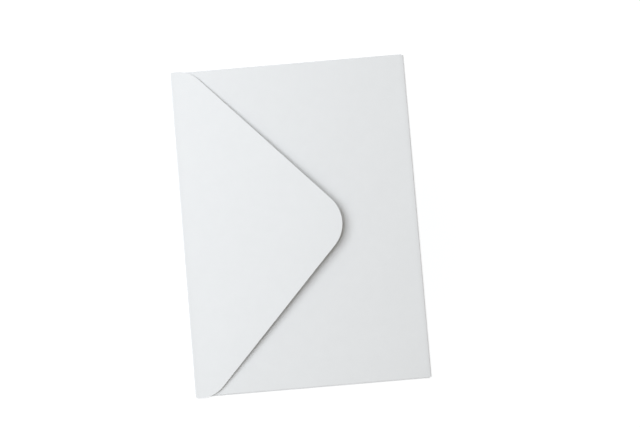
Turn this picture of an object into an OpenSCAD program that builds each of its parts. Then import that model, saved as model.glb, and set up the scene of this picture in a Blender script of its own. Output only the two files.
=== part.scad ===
// Paper envelope: one die-cut sheet, folded and glued to itself.
// It lies on its front panel, with its back and its flap upwards.
// +X runs along the long sides, +Y points to the fold of the flap and +Z points up.
// The origin is under the middle of the envelope, on the surface that it lies on.

/* [Envelope] */
// Length of the folded envelope, along the fold of the flap
envelope_w = 184; // [150:1:230]
// Height of the folded envelope, from the bottom fold to the fold of the flap
envelope_h = 133; // [115:1:165]

/* [Paper] */
// Thickness of the paper
paper_t = 0.2; // [0.12:0.01:0.3]
// Inner radius of the folds at the short sides
side_fold_r = 0.15; // [0.1:0.01:0.25]
// Length that the die cuts off each end of the folds at the short sides
corner_relief = 0.6; // [0.3:0.1:2]
// Size of the notch that the die cuts at each end of the flap's fold
fold_notch = 0.9; // [0.5:0.1:2]

/* [Flap] */
// Depth of the flap, from its fold to its tip
flap_depth = 90.4; // [80:0.1:100]
// Distance from the fold to the shoulders, where the slanted edges start
flap_side = 10.9; // [10:0.1:16]
// Radius of the round tip
flap_tip_r = 19; // [10:0.5:22]
// Radius of the round shoulders at the ends of the fold
flap_shoulder_r = 17; // [4:0.5:18]
// How far the sides of the flap stand out past those of the envelope, or lie inside them if negative
flap_overhang = 0.4; // [-2:0.1:1]
// Angle at which the flap springs up where it leaves its fold
flap_rise = 4; // [2.6:0.1:5]
// Radius of the slight curl that brings the flap down a little towards its tip
flap_curl_r = 4000; // [1500:10:6000]

/* [Back panel] */
// How far the side edges of the back panel lie inside the sides of the envelope
seam_inset = 0.6; // [0.5:0.1:3]
// Distance from the fold of the flap to the top of the back panel's shoulders
shoulder_drop = 5; // [3:0.5:7]
// Width of each shoulder at its top, from its side edge to the throat
shoulder_w = 9; // [7:0.5:14]
// Radius of the round outer corners of the shoulders
shoulder_corner_r = 3; // [1:0.5:5]
// Distance from the fold of the flap to the throat
throat_drop = 15; // [12:0.5:17]
// Angle between the ends of the throat and the short sides
throat_end_angle = 25; // [10:1:40]
// Radius of the hollow corners of the throat
throat_corner_r = 8; // [2:0.5:9]

/* [Side tabs] */
// Width of the side tabs, from the sides of the envelope
tab_w = 16; // [10:0.5:22]
// Angle by which the ends of the side tabs slant
tab_end_angle = 14; // [5:1:25]
// Radius of the round corners of the side tabs
tab_corner_r = 4; // [1:0.5:5]

/* [Hidden] */
paper_colour = [0.94, 0.94, 0.95];
fold_fn = 48;
curl_fn = 1440;
// Angle between the points of a round, in degrees
arc_step = 4;
// Cutting shapes run past what they cut by this much
past = 2;

// Underside of the side tabs, then of the back panel, which is glued on them, then of the flap's fold
tab_z = paper_t + 2 * side_fold_r;
back_z = tab_z + paper_t;
flap_z = back_z + paper_t;

// A fold bends from the front panel, on z = 0, to a layer above: half the clear height between them
bottom_fold_r = (back_z - paper_t) / 2;
flap_fold_r = (flap_z - paper_t) / 2;

// Edges of the flat front panel, where the folds begin
side_x = envelope_w / 2 - (side_fold_r + paper_t);
bottom_y = -envelope_h / 2 + (bottom_fold_r + paper_t);
top_y = envelope_h / 2 - (flap_fold_r + paper_t);

// Ends of the folds at the short sides
tab_low_y = bottom_y + corner_relief;
tab_high_y = top_y - corner_relief;

// Corners of the flap's outline before they are rounded. Each slanted edge runs from a shoulder
// to the circle of the tip, which it touches: that gives its angle to the fold
flap_side_x = envelope_w / 2 + flap_overhang;
flap_side_y = envelope_h / 2 - flap_side;
tip_centre_y = envelope_h / 2 - flap_depth + flap_tip_r;
flap_edge_angle = atan2(flap_side_y - tip_centre_y, flap_side_x)
    + asin(flap_tip_r / norm([flap_side_x, flap_side_y - tip_centre_y]));
flap_apex_y = tip_centre_y - flap_tip_r / cos(flap_edge_angle);

// The notch slants in from the flap's side, and has come this far where the flap's fold begins
fold_end_x = flap_side_x - max(fold_notch - (envelope_h / 2 - top_y), 0);

back_side_x = envelope_w / 2 - seam_inset;
shoulder_y = envelope_h / 2 - shoulder_drop;
throat_y = envelope_h / 2 - throat_drop;

function unit(v) = v / norm(v);
function corner(c, i) = [c[i % len(c)][0], c[i % len(c)][1]];
// Directions from corner i of an outline to its two neighbours
function to_last(c, i) = unit(corner(c, i + len(c) - 1) - corner(c, i));
function to_next(c, i) = unit(corner(c, i + 1) - corner(c, i));

// The points that round corner i off by its radius, or the corner itself where that is 0
function round_points(c, i) =
    let(
        radius = c[i][2],
        inwards = unit(to_last(c, i) + to_next(c, i)),
        half_angle = acos(to_last(c, i) * to_next(c, i)) / 2,
        centre = corner(c, i) + inwards * radius / sin(half_angle),
        first = atan2(to_last(c, i)[0], -to_last(c, i)[1]),
        sweep = 180 - 2 * half_angle,
        steps = radius > 0 ? ceil(sweep / arc_step) : 0
    )
    [for (k = [0 : steps]) let(a = first + sweep * k / max(steps, 1)) centre + radius * [cos(a), sin(a)]];

// A convex outline from its corners, which are [x, y, radius] and run anticlockwise
module rounded_outline(c) {
    polygon([for (i = [0 : len(c) - 1]) each round_points(c, i)]);
}

// Section of the sheet where it turns round a fold, centred on the fold
module bend_ring(inner_r, fn) {
    difference() {
        circle(r = inner_r + paper_t, $fn = fn);
        circle(r = inner_r, $fn = fn);
    }
}

// Section of a half fold that stands on y = 0 and opens towards -X
module half_fold(inner_r) {
    outer_r = inner_r + paper_t;
    translate([0, outer_r]) intersection() {
        bend_ring(inner_r, fold_fn);
        translate([0, -outer_r]) square([outer_r, 2 * outer_r]);
    }
}

// Draws a section out along X, with its own x along Y and its own y along Z
module along_x(length) {
    rotate([90, 0, 90]) translate([0, 0, -length / 2]) linear_extrude(length) children();
}

// Front panel, flat on the surface between the four folds. Past the ends of the side folds
// it goes over to the width of the back panel and of the flap's fold
module front_panel() {
    linear_extrude(paper_t) polygon([
        [-back_side_x, bottom_y],
        [back_side_x, bottom_y],
        [side_x, tab_low_y],
        [side_x, tab_high_y],
        [fold_end_x, top_y],
        [-fold_end_x, top_y],
        [-side_x, tab_high_y],
        [-side_x, tab_low_y],
    ]);
}

// Tab at the +X side, with the fold that turns it in over the front panel
module side_tab() {
    fold_length = tab_high_y - tab_low_y;
    inner_x = envelope_w / 2 - tab_w;
    slant = (side_x - inner_x) * tan(tab_end_angle);
    translate([side_x, tab_high_y, 0]) rotate([90, 0, 0]) linear_extrude(fold_length) half_fold(side_fold_r);
    translate([0, 0, tab_z]) linear_extrude(paper_t) rounded_outline([
        [side_x, tab_low_y, 0],
        [side_x, tab_high_y, 0],
        [inner_x, tab_high_y - slant, tab_corner_r],
        [inner_x, tab_low_y + slant, tab_corner_r],
    ]);
}

// Back panel, folded up from the bottom edge, with a shoulder at each end of its throat
module back_panel() {
    throat_side_x = back_side_x - shoulder_w;
    throat_floor_x = throat_side_x - (throat_drop - shoulder_drop) * tan(throat_end_angle);
    throat_past_x = throat_side_x + past * tan(throat_end_angle);
    along_x(2 * back_side_x) translate([bottom_y, 0]) mirror([1, 0]) half_fold(bottom_fold_r);
    translate([0, 0, back_z]) linear_extrude(paper_t) difference() {
        rounded_outline([
            [-back_side_x, bottom_y, 0],
            [back_side_x, bottom_y, 0],
            [back_side_x, shoulder_y, shoulder_corner_r],
            [-back_side_x, shoulder_y, shoulder_corner_r],
        ]);
        rounded_outline([
            [-throat_floor_x, throat_y, throat_corner_r],
            [throat_floor_x, throat_y, throat_corner_r],
            [throat_past_x, shoulder_y + past, 0],
            [-throat_past_x, shoulder_y + past, 0],
        ]);
    }
}

// Section of the flap: its fold stops short of a half turn, and the sheet goes on in a slight curl
module flap_section() {
    outer_r = flap_fold_r + paper_t;
    middle_r = flap_fold_r + paper_t / 2;
    translate([top_y, outer_r]) {
        intersection() {
            bend_ring(flap_fold_r, fold_fn);
            translate([0, -outer_r]) square([outer_r, 2 * outer_r]);
            rotate(90 - flap_rise) translate([-past, -past]) square([2 * past, past]);
        }
        rotate(90 - flap_rise) intersection() {
            translate([middle_r - flap_curl_r, 0]) bend_ring(flap_curl_r - paper_t / 2, curl_fn);
            translate([-flap_depth, 0]) square([flap_depth + past, flap_depth + past]);
        }
    }
}

// Flap, folded over from the top edge: a deep V with a round tip, round shoulders and a notch
// at each end of its fold
module flap() {
    intersection() {
        along_x(envelope_w + 2 * past) flap_section();
        translate([0, 0, -past]) linear_extrude(flap_depth) rounded_outline([
            [0, flap_apex_y, flap_tip_r],
            [flap_side_x, flap_side_y, flap_shoulder_r],
            [flap_side_x, envelope_h / 2 - fold_notch, 0],
            [flap_side_x - fold_notch - past, envelope_h / 2 + past, 0],
            [-flap_side_x + fold_notch + past, envelope_h / 2 + past, 0],
            [-flap_side_x, envelope_h / 2 - fold_notch, 0],
            [-flap_side_x, flap_side_y, flap_shoulder_r],
        ]);
    }
}

module envelope() {
    color(paper_colour) {
        front_panel();
        side_tab();
        mirror([1, 0, 0]) side_tab();
        back_panel();
        flap();
    }
}

envelope();
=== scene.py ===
import math

import bpy
import numpy as np
from mathutils import Matrix, Vector


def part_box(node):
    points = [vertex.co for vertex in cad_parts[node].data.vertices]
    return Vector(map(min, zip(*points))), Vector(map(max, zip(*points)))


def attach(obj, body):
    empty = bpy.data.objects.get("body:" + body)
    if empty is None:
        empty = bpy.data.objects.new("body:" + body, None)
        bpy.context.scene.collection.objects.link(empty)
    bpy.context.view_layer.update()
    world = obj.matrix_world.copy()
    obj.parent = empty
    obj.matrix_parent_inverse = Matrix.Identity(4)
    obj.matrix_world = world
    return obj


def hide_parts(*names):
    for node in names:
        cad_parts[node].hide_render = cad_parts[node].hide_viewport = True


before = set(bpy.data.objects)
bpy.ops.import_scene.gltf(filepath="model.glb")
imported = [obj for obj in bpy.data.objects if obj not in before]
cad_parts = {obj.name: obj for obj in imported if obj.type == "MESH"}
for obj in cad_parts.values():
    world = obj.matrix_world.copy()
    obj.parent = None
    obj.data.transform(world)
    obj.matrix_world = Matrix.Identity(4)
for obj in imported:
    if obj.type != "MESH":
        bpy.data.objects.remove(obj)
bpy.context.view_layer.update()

# The envelope is one sheet of paper. Here it is the folded blank: the sheet's middle surface is laid
# row by row, from the front panel round each fold, and is then given its thickness.

# The box of all solids, the corners of the envelope's own box, and a millimetre in metres
LOW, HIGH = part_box("envelope")
MM = 0.001

# Paper and folds
PAPER = 0.2 * MM
SIDE_FOLD_INNER_R = 0.15 * MM
CORNER_RELIEF = 0.6 * MM
FOLD_NOTCH = 0.9 * MM

# Flap
FLAP_DEPTH = 90.4 * MM
FLAP_SIDE = 10.9 * MM
FLAP_TIP_R = 19 * MM
FLAP_SHOULDER_R = 17 * MM
FLAP_OVERHANG = 0.4 * MM
FLAP_RISE = math.radians(4)
FLAP_CURL_R = 4000 * MM

# Back panel
SEAM_INSET = 0.6 * MM
SHOULDER_DROP = 5 * MM
SHOULDER_W = 9 * MM
SHOULDER_CORNER_R = 3 * MM
THROAT_DROP = 15 * MM
THROAT_END_ANGLE = math.radians(25)
THROAT_CORNER_R = 8 * MM

# Side tabs
TAB_W = 16 * MM
TAB_END_ANGLE = math.radians(14)
TAB_CORNER_R = 4 * MM

# Half sizes of the flap and of the envelope
FLAP_X = (HIGH[0] - LOW[0]) / 2
HALF_W = FLAP_X - FLAP_OVERHANG
HALF_H = (HIGH[1] - LOW[1]) / 2

# Heights of the middle surface on each layer, and the middle radius of each fold
FRONT_Z = PAPER / 2
SIDE_R = SIDE_FOLD_INNER_R + PAPER / 2
TAB_Z = FRONT_Z + 2 * SIDE_R
BACK_Z = TAB_Z + PAPER
BOTTOM_R = (BACK_Z - FRONT_Z) / 2
FLAP_R = BOTTOM_R + PAPER / 2

# Edges of the flat front panel, where the folds begin
SIDE_X = HALF_W - SIDE_R - PAPER / 2
BOTTOM_Y = -HALF_H + BOTTOM_R + PAPER / 2
TOP_Y = HALF_H - FLAP_R - PAPER / 2
TAB_LOW_Y = BOTTOM_Y + CORNER_RELIEF
TAB_HIGH_Y = TOP_Y - CORNER_RELIEF

# The flap's outline: its slanted edges run from the shoulders to the circle of the tip
FLAP_SIDE_Y = HALF_H - FLAP_SIDE
TIP_CENTRE_Y = HALF_H - FLAP_DEPTH + FLAP_TIP_R
FLAP_ANGLE = math.atan2(FLAP_SIDE_Y - TIP_CENTRE_Y, FLAP_X) + math.asin(
    FLAP_TIP_R / math.hypot(FLAP_X, FLAP_SIDE_Y - TIP_CENTRE_Y))
APEX_Y = TIP_CENTRE_Y - FLAP_TIP_R / math.cos(FLAP_ANGLE)
SHOULDER_CENTRE_X = FLAP_X - FLAP_SHOULDER_R
SHOULDER_CENTRE_Y = FLAP_SIDE_Y + FLAP_SHOULDER_R * math.tan(math.pi / 4 - FLAP_ANGLE / 2)

# The flap's curl goes on from its fold, which stops short of a half turn by the flap's rise
FOLD_END = math.pi / 2 - FLAP_RISE
FLAP_START_Y = TOP_Y + FLAP_R * math.cos(FOLD_END)
CURL_CENTRE_Y = TOP_Y + (FLAP_R - FLAP_CURL_R) * math.cos(FOLD_END)
CURL_CENTRE_Z = FLAP_R + PAPER / 2 + (FLAP_R - FLAP_CURL_R) * math.sin(FOLD_END)

# The back panel's outline, and the inner edge of the side tabs
BACK_X = HALF_W - SEAM_INSET
SHOULDER_Y = HALF_H - SHOULDER_DROP
THROAT_Y = HALF_H - THROAT_DROP
THROAT_SIDE_X = BACK_X - SHOULDER_W
THROAT_FLOOR_X = THROAT_SIDE_X - (THROAT_DROP - SHOULDER_DROP) * math.tan(THROAT_END_ANGLE)
THROAT_CUT = THROAT_CORNER_R * math.tan(math.pi / 4 - THROAT_END_ANGLE / 2)
TAB_INNER_X = HALF_W - TAB_W

# Unevenness of the free paper: its height, the scales of its three waves and of the bends in them,
# and the distance from the flap's fold over which it comes about
RIPPLE = 0.035 * MM
RIPPLE_X = 13 * MM
RIPPLE_Y = 11 * MM
RIPPLE_SLANTED = 8.3 * MM
RIPPLE_BEND_X = 31 * MM
RIPPLE_BEND_Y = 29 * MM
RIPPLE_OVER_Y = 90 * MM

# The flap springs up more towards -X: how much, how far from the middle this starts,
# and the distances from there and from the fold over which it comes about
SIDE_LIFT = 0.5 * MM
SIDE_LIFT_X = 20 * MM
SIDE_LIFT_OVER_X = 45 * MM
SIDE_LIFT_OVER_Y = 25 * MM

# The back panel sinks between the glued tabs: how much, how far the glue stays off their inner edge,
# and the distances from the glue and from the fold over which it comes about
BACK_SINK = 0.12 * MM
GLUE_MARGIN = 1 * MM
SINK_OVER_X = 7 * MM
SINK_OVER_Y = 9 * MM

# Mesh: spacing on the panels, the closest that two rows come, steps round the folds and corners,
# and the angle from which an edge is sharp
SPACING = 2 * MM
FLAP_SPACING = 1.5 * MM
THROAT_SPACING = 0.7 * MM
CLOSEST = 0.01 * MM
FOLD_STEPS = 10
CORNER_STEPS = 6
TAB_CORNER_STEPS = 5
SHOULDER_STEPS = 8
SHARP_ANGLE = math.radians(35)

# The steps round the flap's tip end at this angle from its middle line, and one more row ends the mesh.
# That row is too short for the bevel, so its inner points reach this share of the way out
TIP_STEPS = 21
TIP_END_ANGLE = math.radians(4.5)
TIP_LAST_ANGLE = math.radians(1.5)
TIP_LAST_SHARE = 0.9

# A cut edge thins to this share of the paper over its bevel, and a crease shows this far from its fold
CUT_BEVEL = 0.05 * MM
CUT_EDGE_SHARE = 0.5
CREASE_WIDTH = 1.2 * MM

# Colours of the paper, of the painted shade along its creases and of the painted highlight along its cut
# edges
PAPER_DARK = (0.842, 0.858, 0.874, 1)
PAPER_LIGHT = (0.854, 0.870, 0.886, 1)
CREASE_SHADE_COLOUR = (0.828, 0.844, 0.86, 1)
CUT_EDGE_HIGHLIGHT = (0.9, 0.91, 0.915, 1)

# The paper's clouds, felt marks, fibres and grain: how many to a metre, and how high they stand.
# Clouds go from dark to light over this range of their noise
CLOUD_RANGE = (0.3, 0.7)
CLOUD_SCALE = 160.0
FELT_SCALE = 420.0
FELT_HEIGHT = 0.08 * MM
FIBRE_SCALE = 800.0
FIBRE_HEIGHT = 0.03 * MM
GRAIN_SCALE = 1700.0
GRAIN_HEIGHT = 0.06 * MM

# Fibres lie along two turns, in radians, and are drawn out. Felt marks and fibres stand out by half,
# and the grain by more, most of all along a crease
FIBRE_TURNS = (0.3, 1.9)
FIBRE_STRETCH = (1, 4, 1)
MARK_STRENGTH = 0.5
GRAIN_STRENGTH = 0.6
CREASE_STRENGTH = 1.0

# Gloss of the paper: it mirrors little, and its grain makes it unevenly rough
SPECULAR_LEVEL = 0.3
LEAST_ROUGH = 0.72
MOST_ROUGH = 0.92

# The floor lies just under the envelope. What the camera sees of it glows more and more outwards
FLOOR_Z = -0.02 * MM
FLOOR_REACH = 4.0
FLOOR_GREY = (0.8, 0.8, 0.8, 1)
SHADOW_GREY = (0.5, 0.5, 0.5, 1)
GLOW_COLOUR = (0.975, 0.985, 1, 1)
GLOW_FROM = 0.07
GLOW_TO = 0.5
GLOW_NEAR = 0.58
GLOW_FAR = 0.96

# Light: a warm room and one cool soft box
ROOM_STRENGTH = 0.302
ROOM_COLOUR = (1, 0.925, 0.81, 1)
KEY_PLACE = (0.147, 0.368, 0.695)
KEY_SIZE = 0.75
KEY_POWER = 6.28
KEY_COLOUR = (0.918, 0.955, 1)

# Camera: where it is, what it looks at, which way is up in the picture, and its lens
CAMERA_PLACE = (-11.6 * MM, -11.5 * MM, 503.6 * MM)
CAMERA_AIM = (5.4 * MM, -11.8 * MM, 0)
CAMERA_UP = (0.9959, -0.0842, 0.0336)
LENS_MM = 50
SENSOR_MM = 36


class Sheet:
    """The middle surface of the sheet: points, how far each is from a fold, and the faces between them."""

    def __init__(self):
        self.points = []
        self.from_fold = []
        self.faces = []

    def row(self, points, from_fold):
        """Adds points that lie in a row across the sheet or along it, and returns their numbers."""
        first = len(self.points)
        self.points.extend(points)
        self.from_fold.extend(np.broadcast_to(from_fold, len(points)))
        return list(range(first, len(self.points)))

    def join(self, row, following):
        """Fills the strip between two rows, whose normals then point into the folded envelope."""
        for k in range(len(row) - 1):
            self.faces.append((row[k], row[k + 1], following[k + 1], following[k]))


def merged(*values):
    """All the values in order, without those that lie too close to the one before."""
    ordered = np.sort(np.concatenate([np.atleast_1d(v) for v in values]))
    return ordered[np.concatenate([[True], np.diff(ordered) > CLOSEST])]


def evenly(low, high, spacing=SPACING):
    """Values from low to high, about one spacing apart."""
    return np.linspace(low, high, max(2, round((high - low) / spacing) + 1))


def both_sides(values):
    """The values and their opposites."""
    values = np.atleast_1d(values)
    return np.concatenate([-values, values])


def smooth_step(value):
    """Goes from 0 to 1 as the value does, and is level at both ends."""
    value = min(max(value, 0.0), 1.0)
    return value * value * (3 - 2 * value)


def ripple(x, y):
    """The slight unevenness that any sheet of paper has: three crossing waves, each with its own phase."""
    along_x = math.sin(x / RIPPLE_X + 1.3 * math.sin(y / RIPPLE_BEND_Y) + 0.6)
    along_y = math.sin(y / RIPPLE_Y - 1.1 * math.sin(x / RIPPLE_BEND_X) + 2.1)
    slanted = 0.8 * math.sin((x + y) / RIPPLE_SLANTED + 4.0)
    return RIPPLE * (along_x + along_y + slanted)


def flap_relief(x, free_length):
    """How far the flap leaves its even curl at x, where its free length from the fold is this."""
    lift = SIDE_LIFT * smooth_step((-x - SIDE_LIFT_X) / SIDE_LIFT_OVER_X)
    uneven = ripple(x, -free_length) * smooth_step(free_length / RIPPLE_OVER_Y)
    return uneven + lift * smooth_step(free_length / SIDE_LIFT_OVER_Y)


def back_relief(x, y):
    """Between the glued side tabs the back panel sinks a little, and it stays flat where it is glued."""
    off_glue = smooth_step((TAB_INNER_X + GLUE_MARGIN - abs(x)) / SINK_OVER_X)
    off_fold = smooth_step((y - BOTTOM_Y) / SINK_OVER_Y)
    return off_glue * off_fold * (ripple(y, x) - BACK_SINK)


def front_half_width(y):
    """Half the width of the front panel at y: the die narrows it past the ends of the side folds."""
    ends = [BOTTOM_Y, TAB_LOW_Y, TAB_HIGH_Y, TOP_Y]
    return np.interp(y, ends, [BACK_X, SIDE_X, SIDE_X, flap_half_width(TOP_Y)])


def flap_half_width(y, inset=0.0):
    """Half the width of the flap's outline at y, or of that outline drawn in by inset."""
    shoulder_r = FLAP_SHOULDER_R - inset
    tip_r = FLAP_TIP_R - inset
    if y >= SHOULDER_CENTRE_Y:
        return FLAP_X - inset - max(y - (HALF_H - FOLD_NOTCH), 0.0)
    if y >= SHOULDER_CENTRE_Y - shoulder_r * math.cos(FLAP_ANGLE):
        return SHOULDER_CENTRE_X + math.sqrt(shoulder_r ** 2 - (SHOULDER_CENTRE_Y - y) ** 2)
    if y >= TIP_CENTRE_Y - tip_r * math.cos(FLAP_ANGLE):
        return (y - APEX_Y) / math.tan(FLAP_ANGLE) - inset / math.sin(FLAP_ANGLE)
    return math.sqrt(max(tip_r ** 2 - (TIP_CENTRE_Y - y) ** 2, 0.0))


def back_top(x):
    """Where the back panel ends at x: a shoulder with its round corner, or the throat between them."""
    x = abs(x)
    corner_x = BACK_X - SHOULDER_CORNER_R
    if x > corner_x:
        rise = math.sqrt(max(SHOULDER_CORNER_R ** 2 - (x - corner_x) ** 2, 0.0))
        return SHOULDER_Y - SHOULDER_CORNER_R + rise
    if x > THROAT_SIDE_X:
        return SHOULDER_Y
    if x > THROAT_FLOOR_X + THROAT_CUT * math.sin(THROAT_END_ANGLE):
        return THROAT_Y + (x - THROAT_FLOOR_X) / math.tan(THROAT_END_ANGLE)
    centre_x = THROAT_FLOOR_X - THROAT_CUT
    if x > centre_x:
        return THROAT_Y + THROAT_CORNER_R - math.sqrt(THROAT_CORNER_R ** 2 - (x - centre_x) ** 2)
    return THROAT_Y


def tab_end(x):
    """How far the ends of a side tab have drawn in at x, by their slant and their round corners."""
    slant = math.tan(TAB_END_ANGLE)
    round_x = TAB_INNER_X + TAB_CORNER_R
    if x > round_x - TAB_CORNER_R * math.sin(TAB_END_ANGLE):
        return (SIDE_X - x) * slant
    corner = (SIDE_X - TAB_INNER_X) * slant
    cut = TAB_CORNER_R * math.tan(math.pi / 4 - TAB_END_ANGLE / 2)
    return corner + cut - math.sqrt(max(TAB_CORNER_R ** 2 - (x - round_x) ** 2, 0.0))


def column_shares():
    """Places across the sheet as shares of its half width, close together where the throat's edge bends."""
    arc = np.linspace(0, math.pi / 2, CORNER_STEPS + 1)[1:-1]
    corner = BACK_X - SHOULDER_CORNER_R * (1 - np.sin(arc))
    throat = evenly(THROAT_FLOOR_X - THROAT_CUT, THROAT_SIDE_X, THROAT_SPACING)
    middle = evenly(-THROAT_FLOOR_X + THROAT_CUT, THROAT_FLOOR_X - THROAT_CUT)
    shoulder = evenly(THROAT_SIDE_X, BACK_X - SHOULDER_CORNER_R)
    side = [BACK_X - CUT_BEVEL, BACK_X]
    return merged(middle, *(both_sides(v) for v in (throat, shoulder, corner, side))) / BACK_X


def front_panel(sheet, shares):
    """Lays the front panel and returns its rows, with the y of each."""
    ends = [BOTTOM_Y, TAB_LOW_Y, TAB_LOW_Y + CUT_BEVEL, TAB_HIGH_Y - CUT_BEVEL, TAB_HIGH_Y, TOP_Y]
    heights = merged(ends, evenly(TAB_LOW_Y + CUT_BEVEL, TAB_HIGH_Y - CUT_BEVEL))
    rows = []
    for y in heights:
        xs = shares * front_half_width(y)
        from_fold = [min(SIDE_X - abs(x), y - BOTTOM_Y, TOP_Y - y) for x in xs]
        rows.append(sheet.row([(x, y, FRONT_Z) for x in xs], from_fold))
    for row, following in zip(rows, rows[1:]):
        sheet.join(row, following)
    return heights, rows


def flap_heights():
    """Values of y down the flap, close together round its shoulders and its tip."""
    turn = np.linspace(0, math.pi / 2 - FLAP_ANGLE, SHOULDER_STEPS + 1)
    shoulder = SHOULDER_CENTRE_Y - FLAP_SHOULDER_R * np.sin(turn)
    turn = [*np.linspace(FLAP_ANGLE, TIP_END_ANGLE, TIP_STEPS + 1), TIP_LAST_ANGLE]
    tip = TIP_CENTRE_Y - FLAP_TIP_R * np.cos(turn)
    slanted = evenly(tip[0], shoulder[-1], FLAP_SPACING)
    side = [*evenly(SHOULDER_CENTRE_Y, HALF_H - FOLD_NOTCH), FLAP_START_Y]
    return merged(tip, slanted, shoulder, side)[::-1]


def flap(sheet, shares, top_row):
    """Turns the sheet round the top fold and lays the flap, which springs up from the back panel."""
    row = top_row
    for k in range(1, FOLD_STEPS):
        angle = -math.pi / 2 + (FOLD_END + math.pi / 2) * k / FOLD_STEPS
        y = TOP_Y + FLAP_R * math.cos(angle)
        z = FLAP_R + PAPER / 2 + FLAP_R * math.sin(angle)
        following = sheet.row([(x, y, z) for x in shares * flap_half_width(y)], 0.0)
        sheet.join(row, following)
        row = following
    inner = shares[1:-1] / shares[-2]
    for y in flap_heights():
        edge = flap_half_width(y)
        inset = flap_half_width(y, CUT_BEVEL) or TIP_LAST_SHARE * edge
        z = CURL_CENTRE_Z + math.sqrt(FLAP_CURL_R ** 2 - (y - CURL_CENTRE_Y) ** 2)
        free_length = FLAP_START_Y - y
        xs = np.concatenate([[-edge], inner * inset, [edge]])
        following = sheet.row([(x, y, z + flap_relief(x, free_length)) for x in xs], free_length)
        sheet.join(row, following)
        row = following


def back_panel(sheet, shares, bottom_row):
    """Turns the sheet round the bottom fold and lays the back panel up to its throat."""
    columns = shares * BACK_X
    row = bottom_row
    for k in range(1, FOLD_STEPS):
        angle = -math.pi / 2 - math.pi * k / FOLD_STEPS
        y = BOTTOM_Y + BOTTOM_R * math.cos(angle)
        z = BOTTOM_R + PAPER / 2 + BOTTOM_R * math.sin(angle)
        following = sheet.row([(x, y, z) for x in columns], 0.0)
        sheet.join(following, row)
        row = following
    tops = np.array([back_top(x) for x in columns])
    steps = evenly(0, 1, SPACING / (THROAT_Y - BOTTOM_Y))
    rows = [BOTTOM_Y + (tops - CUT_BEVEL - BOTTOM_Y) * share for share in steps]
    for ys in [*rows, tops]:
        points = [(x, y, BACK_Z + back_relief(x, y)) for x, y in zip(columns, ys)]
        following = sheet.row(points, ys - BOTTOM_Y)
        sheet.join(following, row)
        row = following


def side_tab(sheet, heights, column, side):
    """Turns the sheet round the fold of one short side and lays the tab under the back panel.

    Each row runs along the fold, and its points draw together between the slanted ends of the tab.
    The first and last points lie on the cut edges, and the next ones keep one bevel off them.
    """
    row = column
    middle = (TAB_LOW_Y + TAB_HIGH_Y) / 2
    reach = (TAB_HIGH_Y - TAB_LOW_Y) / 2
    angles = [-math.pi / 2 + math.pi * k / FOLD_STEPS for k in range(1, FOLD_STEPS)]
    places = [(SIDE_X + SIDE_R * math.cos(a), SIDE_R + PAPER / 2 + SIDE_R * math.sin(a)) for a in angles]
    arc = TAB_CORNER_R * (1 - np.cos(np.linspace(0, math.pi / 2, TAB_CORNER_STEPS + 1)))
    straight = evenly(TAB_INNER_X + TAB_CORNER_R, SIDE_X)
    across = merged(TAB_INNER_X + arc, TAB_INNER_X + CUT_BEVEL, straight)
    places += [(x, TAB_Z) for x in across[::-1]]
    for x, z in places:
        end = reach - tab_end(min(x, SIDE_X))
        points = []
        for y in heights:
            share = (y - middle) / reach
            if abs(share) < 1:
                share *= (1 - CUT_BEVEL / end) / (1 - CUT_BEVEL / reach)
            points.append((side * x, middle + share * end, z))
        following = sheet.row(points, max(SIDE_X - x, 0.0))
        if side > 0:
            sheet.join(following, row)
        else:
            sheet.join(row, following)
        row = following


def point_normals(points, faces):
    """The surface's direction at each point, weighted by the size of the faces round it."""
    corners = points[faces]
    face_normals = np.cross(corners[:, 2] - corners[:, 0], corners[:, 3] - corners[:, 1])
    normals = np.zeros_like(points)
    for k in range(4):
        np.add.at(normals, faces[:, k], face_normals)
    return normals / np.linalg.norm(normals, axis=1)[:, None]


def cut_sides(faces):
    """The sides of faces that have no neighbour, which is where the sheet is cut."""
    sides = np.concatenate([faces[:, [k, (k + 1) % 4]] for k in range(4)]).tolist()
    known = {tuple(side) for side in sides}
    return np.array([side for side in sides if (side[1], side[0]) not in known])


def added(name, data):
    """A new object in the scene."""
    made = bpy.data.objects.new(name, data)
    bpy.context.scene.collection.objects.link(made)
    return made


def thickened(sheet, name):
    """The sheet as a closed mesh object, thinner along its cut edges, where the die rounds them."""
    points = np.array(sheet.points)
    faces = np.array(sheet.faces)
    cut = cut_sides(faces)
    count = len(points)
    half = np.full(count, PAPER / 2)
    half[cut.ravel()] *= CUT_EDGE_SHARE
    offset = point_normals(points, faces) * half[:, None]
    rim = np.column_stack([cut[:, 1], cut[:, 0], cut[:, 0] + count, cut[:, 1] + count])

    mesh = bpy.data.meshes.new(name)
    mesh.from_pydata(
        np.concatenate([points + offset, points - offset]).tolist(), [],
        np.concatenate([faces, faces[:, ::-1] + count, rim]).tolist())
    mesh.shade_smooth()
    mesh.set_sharp_from_angle(angle=SHARP_ANGLE)
    # The crease mask sets the painted shade along the folds and a stronger grain
    crease = np.exp(-(np.array(sheet.from_fold) / CREASE_WIDTH) ** 2)
    # The cut_edge mask sets the painted highlight along the cut edges
    cut_edge = np.zeros(count)
    cut_edge[cut.ravel()] = 1
    for label, values in (("crease", crease), ("cut_edge", cut_edge)):
        attribute = mesh.attributes.new(label, "FLOAT", "POINT")
        attribute.data.foreach_set("value", np.tile(values, 2))
    mesh.validate()
    mesh.update()
    return added(name, mesh)


def folded_envelope():
    """The whole sheet, folded to an envelope that lies on its front panel."""
    sheet = Sheet()
    shares = column_shares()
    heights, rows = front_panel(sheet, shares)
    flap(sheet, shares, rows[-1])
    back_panel(sheet, shares, rows[0])
    on_tabs = (heights > TAB_LOW_Y - CLOSEST) & (heights < TAB_HIGH_Y + CLOSEST)
    for side, index in ((1, -1), (-1, 0)):
        column = np.array([row[index] for row in rows])[on_tabs]
        side_tab(sheet, heights[on_tabs], column.tolist(), side)
    return thickened(sheet, "folded_sheet")


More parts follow.
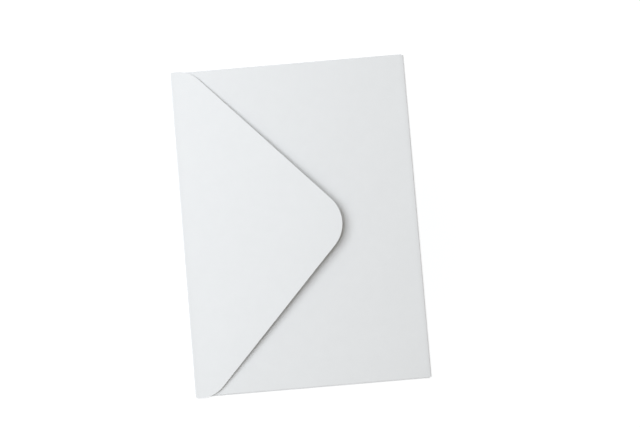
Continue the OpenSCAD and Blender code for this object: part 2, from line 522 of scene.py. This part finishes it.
def add_node(nodes, kind, **inputs):
    """A shader node with some of its inputs or settings set by name."""
    made = nodes.new(kind)
    for key, value in inputs.items():
        if hasattr(made, key):
            setattr(made, key, value)
        else:
            made.inputs[key.replace("_", " ")].default_value = value
    return made


def empty_nodes(owner):
    """The nodes of a material or a world, emptied, and the call that links them."""
    owner.use_nodes = True
    owner.node_tree.nodes.clear()
    return owner.node_tree.nodes, owner.node_tree.links.new


def noise(nodes, link, place, scale, stretch=(1, 1, 1), turn=0.0, **inputs):
    """A noise texture in the object's own space, stretched along one direction for fibres."""
    mapping = nodes.new("ShaderNodeMapping")
    mapping.inputs["Scale"].default_value = stretch
    mapping.inputs["Rotation"].default_value = (0, 0, turn)
    texture = add_node(nodes, "ShaderNodeTexNoise", Scale=scale, **inputs)
    link(place, mapping.inputs["Vector"])
    link(mapping.outputs["Vector"], texture.inputs["Vector"])
    return texture.outputs["Fac"]


def blended(nodes, link, factor, low, high):
    """A number that goes from low to high with the factor."""
    between = add_node(nodes, "ShaderNodeMapRange", To_Min=low, To_Max=high)
    link(factor, between.inputs["Value"])
    return between.outputs["Result"]


def tinted(nodes, link, factor, base, colour):
    """The base colour, or the other one where the factor is 1."""
    mix = nodes.new("ShaderNodeMix")
    mix.data_type = "RGBA"
    link(factor, mix.inputs["Factor"])
    link(base, mix.inputs["A"])
    mix.inputs["B"].default_value = colour
    return mix.outputs["Result"]


def raised(nodes, link, height, strength, distance, normal=None):
    """A bump from a height, on top of another one if its normal is given."""
    bump = add_node(nodes, "ShaderNodeBump", Distance=distance)
    link(height, bump.inputs["Height"])
    if normal is not None:
        link(normal, bump.inputs["Normal"])
    if isinstance(strength, float):
        bump.inputs["Strength"].default_value = strength
    else:
        link(strength, bump.inputs["Strength"])
    return bump.outputs["Normal"]


def paper_tone(nodes, link, place, crease, cut_edge):
    """White with faint clouds, a little greyer along the creases by painted shade and lighter at the cut
    edges by a painted highlight.
    """
    clouds = noise(nodes, link, place, CLOUD_SCALE, Detail=6.0, Roughness=0.6)
    tone = nodes.new("ShaderNodeValToRGB")
    for element, position, colour in zip(tone.color_ramp.elements, CLOUD_RANGE, (PAPER_DARK, PAPER_LIGHT)):
        element.position = position
        element.color = colour
    link(clouds, tone.inputs["Fac"])
    # Painted shade: the paper turns greyer along the creases
    crease_shaded = tinted(nodes, link, crease, tone.outputs["Color"], CREASE_SHADE_COLOUR)
    # Painted highlight: the paper turns lighter along the cut edges
    return tinted(nodes, link, cut_edge, crease_shaded, CUT_EDGE_HIGHLIGHT)


def paper_material():
    """White uncoated paper with felt marks, fibres and a grain that stands up more along the creases."""
    material = bpy.data.materials.new("white_paper")
    material.use_nodes = True
    nodes = material.node_tree.nodes
    link = material.node_tree.links.new
    shader = nodes["Principled BSDF"]
    shader.inputs["Specular IOR Level"].default_value = SPECULAR_LEVEL
    place = nodes.new("ShaderNodeTexCoord").outputs["Object"]
    # The crease attribute sets the painted shade along the folds and a stronger grain
    crease = add_node(nodes, "ShaderNodeAttribute", attribute_name="crease").outputs["Fac"]
    # The cut_edge attribute sets the painted highlight along the cut edges
    cut_edge = add_node(nodes, "ShaderNodeAttribute", attribute_name="cut_edge").outputs["Fac"]
    link(paper_tone(nodes, link, place, crease, cut_edge), shader.inputs["Base Color"])

    felt = noise(nodes, link, place, FELT_SCALE, Detail=5.0, Roughness=0.62, Distortion=0.8)
    normal = raised(nodes, link, felt, MARK_STRENGTH, FELT_HEIGHT)
    for turn in FIBRE_TURNS:
        fibres = noise(nodes, link, place, FIBRE_SCALE, FIBRE_STRETCH, turn, Detail=3.0, Distortion=1.2)
        normal = raised(nodes, link, fibres, MARK_STRENGTH, FIBRE_HEIGHT, normal)
    grain = noise(nodes, link, place, GRAIN_SCALE, Detail=8.0, Roughness=0.72)
    strength = blended(nodes, link, crease, GRAIN_STRENGTH, CREASE_STRENGTH)
    link(raised(nodes, link, grain, strength, GRAIN_HEIGHT, normal), shader.inputs["Normal"])
    link(blended(nodes, link, grain, LEAST_ROUGH, MOST_ROUGH), shader.inputs["Roughness"])
    return material


def shown_itself(nodes, link):
    """1 where a thing is seen, also in a reflection or through glass, and 0 where only its light counts."""
    path = nodes.new("ShaderNodeLightPath")
    shown = path.outputs["Is Camera Ray"]
    for ray in ("Is Glossy Ray", "Is Transmission Ray"):
        either = add_node(nodes, "ShaderNodeMath", operation="MAXIMUM")
        link(shown, either.inputs[0])
        link(path.outputs[ray], either.inputs[1])
        shown = either.outputs[0]
    return shown


def floor_material():
    """Plain white where it is seen, apart from the shadow of what lies on it."""
    material = bpy.data.materials.new("floor_white")
    nodes, link = empty_nodes(material)
    plain = add_node(nodes, "ShaderNodeBsdfDiffuse", Color=FLOOR_GREY)
    shaded = add_node(nodes, "ShaderNodeBsdfDiffuse", Color=SHADOW_GREY)
    lifted = add_node(nodes, "ShaderNodeEmission", Color=GLOW_COLOUR)
    white = nodes.new("ShaderNodeAddShader")
    choice = nodes.new("ShaderNodeMixShader")
    output = nodes.new("ShaderNodeOutputMaterial")
    away = add_node(nodes, "ShaderNodeVectorMath", operation="LENGTH")
    glow = add_node(
        nodes, "ShaderNodeMapRange", From_Min=GLOW_FROM, From_Max=GLOW_TO, To_Min=GLOW_NEAR, To_Max=GLOW_FAR)
    link(nodes.new("ShaderNodeTexCoord").outputs["Object"], away.inputs[0])
    link(away.outputs["Value"], glow.inputs["Value"])
    link(glow.outputs["Result"], lifted.inputs["Strength"])
    link(shaded.outputs[0], white.inputs[0])
    link(lifted.outputs[0], white.inputs[1])
    link(shown_itself(nodes, link), choice.inputs["Fac"])
    link(plain.outputs[0], choice.inputs[1])
    link(white.outputs[0], choice.inputs[2])
    link(choice.outputs[0], output.inputs["Surface"])
    return material


def white_floor():
    """A white sweep, far wider than the view."""
    mesh = bpy.data.meshes.new("floor")
    corners = [(x * FLOOR_REACH, y * FLOOR_REACH, FLOOR_Z) for x, y in ((-1, -1), (1, -1), (1, 1), (-1, 1))]
    mesh.from_pydata(corners, [], [(0, 1, 2, 3)])
    mesh.materials.append(floor_material())
    added("floor", mesh)


def room_light():
    """Even light from all round, which the camera sees as plain white."""
    world = bpy.data.worlds.new("studio")
    bpy.context.scene.world = world
    nodes, link = empty_nodes(world)
    light = add_node(nodes, "ShaderNodeBackground", Color=ROOM_COLOUR, Strength=ROOM_STRENGTH)
    white = add_node(nodes, "ShaderNodeBackground", Color=(1, 1, 1, 1), Strength=1.0)
    choice = nodes.new("ShaderNodeMixShader")
    output = nodes.new("ShaderNodeOutputWorld")
    link(shown_itself(nodes, link), choice.inputs["Fac"])
    link(light.outputs[0], choice.inputs[1])
    link(white.outputs[0], choice.inputs[2])
    link(choice.outputs[0], output.inputs["Surface"])


def key_light():
    """A square soft box on the fold's side, a little towards +X, that faces the envelope."""
    data = bpy.data.lights.new("key", "AREA")
    data.shape = "SQUARE"
    data.size = KEY_SIZE
    data.energy = KEY_POWER
    data.color = KEY_COLOUR
    lamp = added("key", data)
    lamp.location = KEY_PLACE
    lamp.rotation_euler = Vector(KEY_PLACE).to_track_quat("Z", "Y").to_euler()


def camera_above():
    """Looks nearly straight down, with the fold of the flap at the left."""
    data = bpy.data.cameras.new("camera")
    data.lens = LENS_MM
    data.sensor_width = SENSOR_MM
    camera = added("camera", data)
    back = (Vector(CAMERA_PLACE) - Vector(CAMERA_AIM)).normalized()
    right = Vector(CAMERA_UP).cross(back).normalized()
    matrix = Matrix((right, back.cross(right), back)).transposed().to_4x4()
    matrix.translation = CAMERA_PLACE
    camera.matrix_world = matrix
    bpy.context.scene.camera = camera


envelope = folded_envelope()
envelope.data.materials.append(paper_material())
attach(envelope, "root")
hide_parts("envelope")

white_floor()
room_light()
key_light()
camera_above()
bpy.context.scene.view_settings.view_transform = "Standard"
